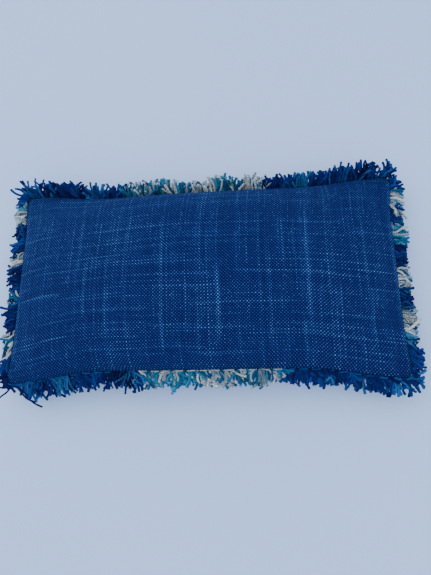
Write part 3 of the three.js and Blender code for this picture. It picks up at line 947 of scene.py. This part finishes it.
# How far over the seam and outside it the stitches lie: deep in the pile, but for the near side.
STITCH_OVER = {"near": (0.0060, 0.0004)}
DEEP_STITCH = (0.0014, 0.0010)
# Where each side's yarns start and stop: two of the near corners are bare for a little way.
SEWN = {"near": (-0.885, 1), "far": (-1, 1), "left": (-1, 1), "right": (-0.93, 1)}
# Each loose end: its way in plan, its length and its curl.
LOOSE_THREADS = [((-1.0, -0.06), 0.032, 0.16), ((-0.74, -0.67), 0.036, 0.10),
                 ((0.92, -0.38), 0.046, -0.24), ((0.86, -0.50), 0.036, -0.10),
                 ((-0.96, 0.28), 0.026, 0.10)]
KNOT = (-0.257, -0.1425, 0.0405)
LOOSE_RADIUS = 0.0016
BED_GAP = 0.0004


def seam_run(side, t):
    """Points on the seam at the places t, the way out, and the way along, towards +X or +Y."""
    seam, way = seam_at(side, t)
    run = np.stack([-way[:, 1], way[:, 0], 0 * t], -1)
    return seam, way, run * np.sign(run[:, 0:1] + run[:, 1:2])


def block_yarns(rng, side, start, end):
    half, hang = SIDES[side]["half"], HANGS[side]
    count = int(2 * half * (end - start) / YARN_SPACING)
    even = (np.arange(count) + rng.uniform(0, 1, count)) / count
    t = np.clip(2 * (start + (end - start) * even) - 1, -MITRE, MITRE)
    sparse = CORNER_THINNING * ease(np.abs(t), 0.82, 1)
    t = t[(t > SEWN[side][0]) & (t < SEWN[side][1]) & (rng.uniform(0, 1, count) > sparse)]
    count = len(t)
    seam, way, run = seam_run(side, t)

    tuft = (t + 1) * half / TUFT_WIDTH
    tuft = np.floor(tuft + 0.3 * np.sin(tuft * 2.3)).astype(int)
    tuft_lean = rng.normal(*hang["lean"], tuft.max() + 1)
    off_centre = (t + 1) * half - (tuft + 0.5) * TUFT_WIDTH
    side_length = np.interp(t, (-1, 1), hang["length"])
    height = rng.integers(0, LAYERS, count) / (LAYERS - 1)
    follow = 0.10 + 0.90 * height
    lean = (follow * (tuft_lean[tuft] - 0.6 * off_centre / side_length)
            + rng.normal(0, 0.34, count) * (1.2 - 0.4 * height))
    lean = np.clip(lean, -MOST_LEAN, MOST_LEAN)
    heading = way * np.cos(lean)[:, None] + run * np.sin(lean)[:, None]
    side_way = run * np.cos(lean)[:, None] - way * np.sin(lean)[:, None]

    low, high = hang["rise"]
    tuft_rise = rng.normal(0, 0.10, tuft.max() + 1)
    rise = low + (high - low) * height + tuft_rise[tuft] + rng.normal(0, 0.09, count)
    sag = hang["sag"] + rng.normal(0, 0.14, count)
    over_zip = (side == "near") & (np.abs(seam[:, 0]) < ZIP_HALF_LENGTH + ZIP_CLEARANCE)
    rise = np.where(over_zip, np.maximum(rise, 0.07), rise)
    sag = np.where(over_zip, np.minimum(sag, rise * 0.9), sag)
    tuft_length = rng.normal(1, 0.11, tuft.max() + 1)
    length = side_length * (1 - 0.14 * height) * tuft_length[tuft] * rng.normal(1, 0.10, count)
    length /= np.sqrt(1 + np.maximum(rise - sag, 0) ** 2)
    root = seam - way * (0.0008 + 0.6 * hang["over"] * height)[:, None]
    root[:, 2] += 0.0016 + hang["over"] * height + rng.uniform(0, 0.0004, count)
    points = bend_yarns(root, heading, side_way, length, rise, sag, rng.normal(0, 0.30, count),
                        rng.normal(0, 0.05, count), rng.normal(YARN_RADIUS, 0.00020, count))
    return t, points


def block_stitches(rng, side, start, end):
    steps = max(1, int(2 * SIDES[side]["half"] * (end - start) / STITCH_SPACING))
    t = np.clip(2 * (start + (end - start) * (np.arange(steps) + 0.5) / steps) - 1, -0.96, 0.96)
    held, way, run = seam_run(side, t)
    over, out = STITCH_OVER.get(side, DEEP_STITCH)
    held = held + way * out - run * STITCH_LENGTH / 2
    held[:, 2] += over
    ones = np.ones(steps)
    return t, bend_yarns(held, run, way, STITCH_LENGTH * ones, 0.08 * ones, 0.08 * ones,
                         0 * ones, rng.normal(0, 0.02, steps), STITCH_RADIUS * ones)


def loose_threads():
    """Long thread ends, left hanging where the sewing stopped at the near left corner."""
    ways = np.array([[*way, 0] for way, _, _ in LOOSE_THREADS])
    ones = np.ones(len(LOOSE_THREADS))
    root = np.array([KNOT]) * ones[:, None]
    across = np.stack([-ways[:, 1], ways[:, 0], 0 * ones], -1)
    lengths = np.array([length for _, length, _ in LOOSE_THREADS])
    curls = np.array([curl for _, _, curl in LOOSE_THREADS])
    return bend_yarns(root, ways, across, lengths, 0.25 * ones, 0.6 * ones, curls, 0.06 * ones,
                      LOOSE_RADIUS * ones)


def lay_block(side, start, end, family, seed):
    rng = np.random.default_rng(seed)
    half = SIDES[side]["half"]
    t, yarns = block_yarns(rng, side, start, end)
    places, stitches = block_stitches(rng, side, start, end)
    shade = rng.uniform(0.8, 1.1, (len(places), 1))
    stitch_tints = np.array([STITCH_DYES[family]]) * shade
    groups, tints = [yarns, stitches], [pick_dyes(rng, family, t, half), stitch_tints]
    if side == "near" and start == 0:
        groups.append(loose_threads())
        tints.append(pick_dyes(rng, family, np.full(len(LOOSE_THREADS), -1.0), half))
    points = np.concatenate(groups)
    points[:, :, 2] = np.maximum(points[:, :, 2], BED_GAP)
    return points, np.clip(np.concatenate(tints), 0, 1)


def add_fringe():
    total = 0
    for number, side in enumerate(SIDES):
        start = 0
        for i, (family, end) in enumerate(BLOCKS[side]):
            points, tints = lay_block(side, start, end, family, 100 * number + i + 1)
            name = f"fringe_{side}_{i + 1}_{family}"
            piece = yarn_mesh(f"yarns_{side}_{i + 1}_{family}", points, tints)
            complete(piece, piece.name, yarn_finishes[family], "cushion", f"{family}_yarn", name)
            total += len(tints)
            start = end
    return total


print("yarns and stitches:", add_fringe())

# %% [markdown]
# ## The zipper
# A nylon coil zipper: two tapes, each with a coil along its edge, metal stops at the ends, a slider
# and its pull. A coil is a thread wound into a helix, so it is made as one: a small circle, screwed
# along the zipper, and pressed flat to the coil's size.

# %% Zipper coils and tapes
COIL_TURNS_PITCH = 0.0014
COIL_WIRE = 0.00034
COIL_RADIUS = 0.001  # before it is pressed flat
COIL_WIRE_SIDES, COIL_TURN_STEPS = 6, 10
ZIP_TAPE_COLUMNS, ZIP_TAPE_ROWS = 160, 14
BEAD_HEIGHT, BEAD_PITCH = 0.000072, 0.0039


def coil_finish(name):
    nylon = Finish(name, Roughness=0.42, Specular_IOR_Level=0.5)
    where = nylon.node("ShaderNodeTexCoord", {}, [], "Object")
    cloudy = nylon.noise(where, 600.0)
    nylon.colour(nylon.mix(cloudy, dye(16, 34, 84), dye(26, 54, 112)))
    nylon.roughness(cloudy * 0.2 + 0.34)
    nylon.bump(cloudy, 0.0001, 0.3)
    return nylon


def add_coil(place):
    node = f"zipper_{place}_coil"
    low, high = (np.array(corner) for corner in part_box(node))
    size, middle = high - low, (high + low) / 2
    bpy.ops.object.select_all(action="DESELECT")
    bpy.ops.mesh.primitive_circle_add(vertices=COIL_WIRE_SIDES, radius=COIL_WIRE)
    piece = bpy.context.object
    ring = points_of(piece)
    put_points(piece, np.stack([ring[:, 0], COIL_RADIUS + ring[:, 1], 0 * ring[:, 0]], -1))
    turns = int((size[0] - 2 * COIL_WIRE) / COIL_TURNS_PITCH)
    apply_modifier(piece, "wind", "SCREW", axis="X", steps=COIL_TURN_STEPS,
                   render_steps=COIL_TURN_STEPS, screw_offset=COIL_TURNS_PITCH,
                   iterations=turns, use_merge_vertices=False)
    in_edit_mode(piece, lambda: bpy.ops.mesh.remove_doubles(threshold=1e-6),
                 lambda: bpy.ops.mesh.fill_holes(sides=COIL_WIRE_SIDES),
                 lambda: bpy.ops.mesh.normals_make_consistent(inside=False))
    points = points_of(piece)
    lowest, highest = points.min(0), points.max(0)
    put_points(piece, (points - (lowest + highest) / 2) * size / (highest - lowest) + middle)
    return complete(piece, f"coil_{place}", nylon_finish, "cushion", "zipper_coil", node)


def add_zip_tape(place):
    node = f"zipper_{place}_tape"
    low, high = (np.array(corner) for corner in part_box(node))
    size, middle = high - low, (high + low) / 2
    piece = start_grid(ZIP_TAPE_COLUMNS, ZIP_TAPE_ROWS, size[0] / 2, size[1] / 2)
    points = points_of(piece)
    bead = BEAD_HEIGHT * np.cos(points[:, 0] * 2 * math.pi / BEAD_PITCH)
    put_points(piece, points + middle + np.stack([0 * bead, 0 * bead, bead], -1))
    lay_uv(piece, "run", points[:, :2])
    apply_modifier(piece, "woven", "SOLIDIFY", thickness=size[2] * 0.7, offset=0)
    face_outward(piece)
    return complete(piece, f"zip_tape_{place}", zip_tape_finish, "cushion", "zipper_tape", node)


nylon_finish = coil_finish("zipper_coil")
zip_tape_finish = header_finish("zipper_tape")
for place in ("upper", "lower"):
    add_coil(place)
    add_zip_tape(place)

# %% [markdown]
# ## Zipper metal
# The stops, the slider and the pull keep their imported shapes, which are right, and only lose their
# sharp edges. A merged copy of each is bevelled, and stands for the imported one.

# %% Zipper metal
def metal_finish(name):
    metal = Finish(name, Metallic=1.0)
    where = metal.node("ShaderNodeTexCoord", {}, [], "Object")
    brushed = metal.noise(metal.node("ShaderNodeMapping", {}, {0: where, 3: (1.0, 14.0, 14.0)}),
                          700.0, 3.0)
    wear_and_painted_edge_light = metal.noise(where, 260.0, 3.0)
    metal.colour(metal.mix(wear_and_painted_edge_light, dye(132, 134, 140), dye(186, 188, 192)))
    metal.roughness(brushed * 0.18 + 0.20 + wear_and_painted_edge_light * 0.1)
    metal.bump(brushed, 0.00005, 0.4)
    return metal


def soften(node, name, body, width):
    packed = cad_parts[node]
    piece = bpy.data.objects.new(name, packed.data.copy())
    bpy.context.scene.collection.objects.link(piece)
    in_edit_mode(piece, lambda: bpy.ops.mesh.remove_doubles(threshold=1e-6),
                 lambda: bpy.ops.mesh.dissolve_limited(angle_limit=math.radians(2)),
                 lambda: bpy.ops.mesh.normals_make_consistent(inside=False))
    apply_modifier(piece, "edges", "BEVEL", width=width, segments=2, limit_method="ANGLE",
                   angle_limit=math.radians(35))
    complete(piece, name, plated_finish, body, "zipper_metal", node)
    select_only(piece)
    bpy.ops.object.shade_smooth_by_angle(angle=math.radians(40))
    return piece


plated_finish = metal_finish("zipper_metal")
soften("zipper_slider_body", "slider_body", "slider", 0.00022)
soften("zipper_pull_tab", "pull", "pull_tab", 0.00028)
soften("zipper_upper_top_stop", "top_stop_upper", "cushion", 0.0003)
soften("zipper_lower_top_stop", "top_stop_lower", "cushion", 0.0003)
soften("zipper_bottom_stop", "bottom_stop", "cushion", 0.0004)

# %% [markdown]
# ## The end
# The finished cushion may stand only a little proud of the imported one.

# %% The end
print("all pieces built")
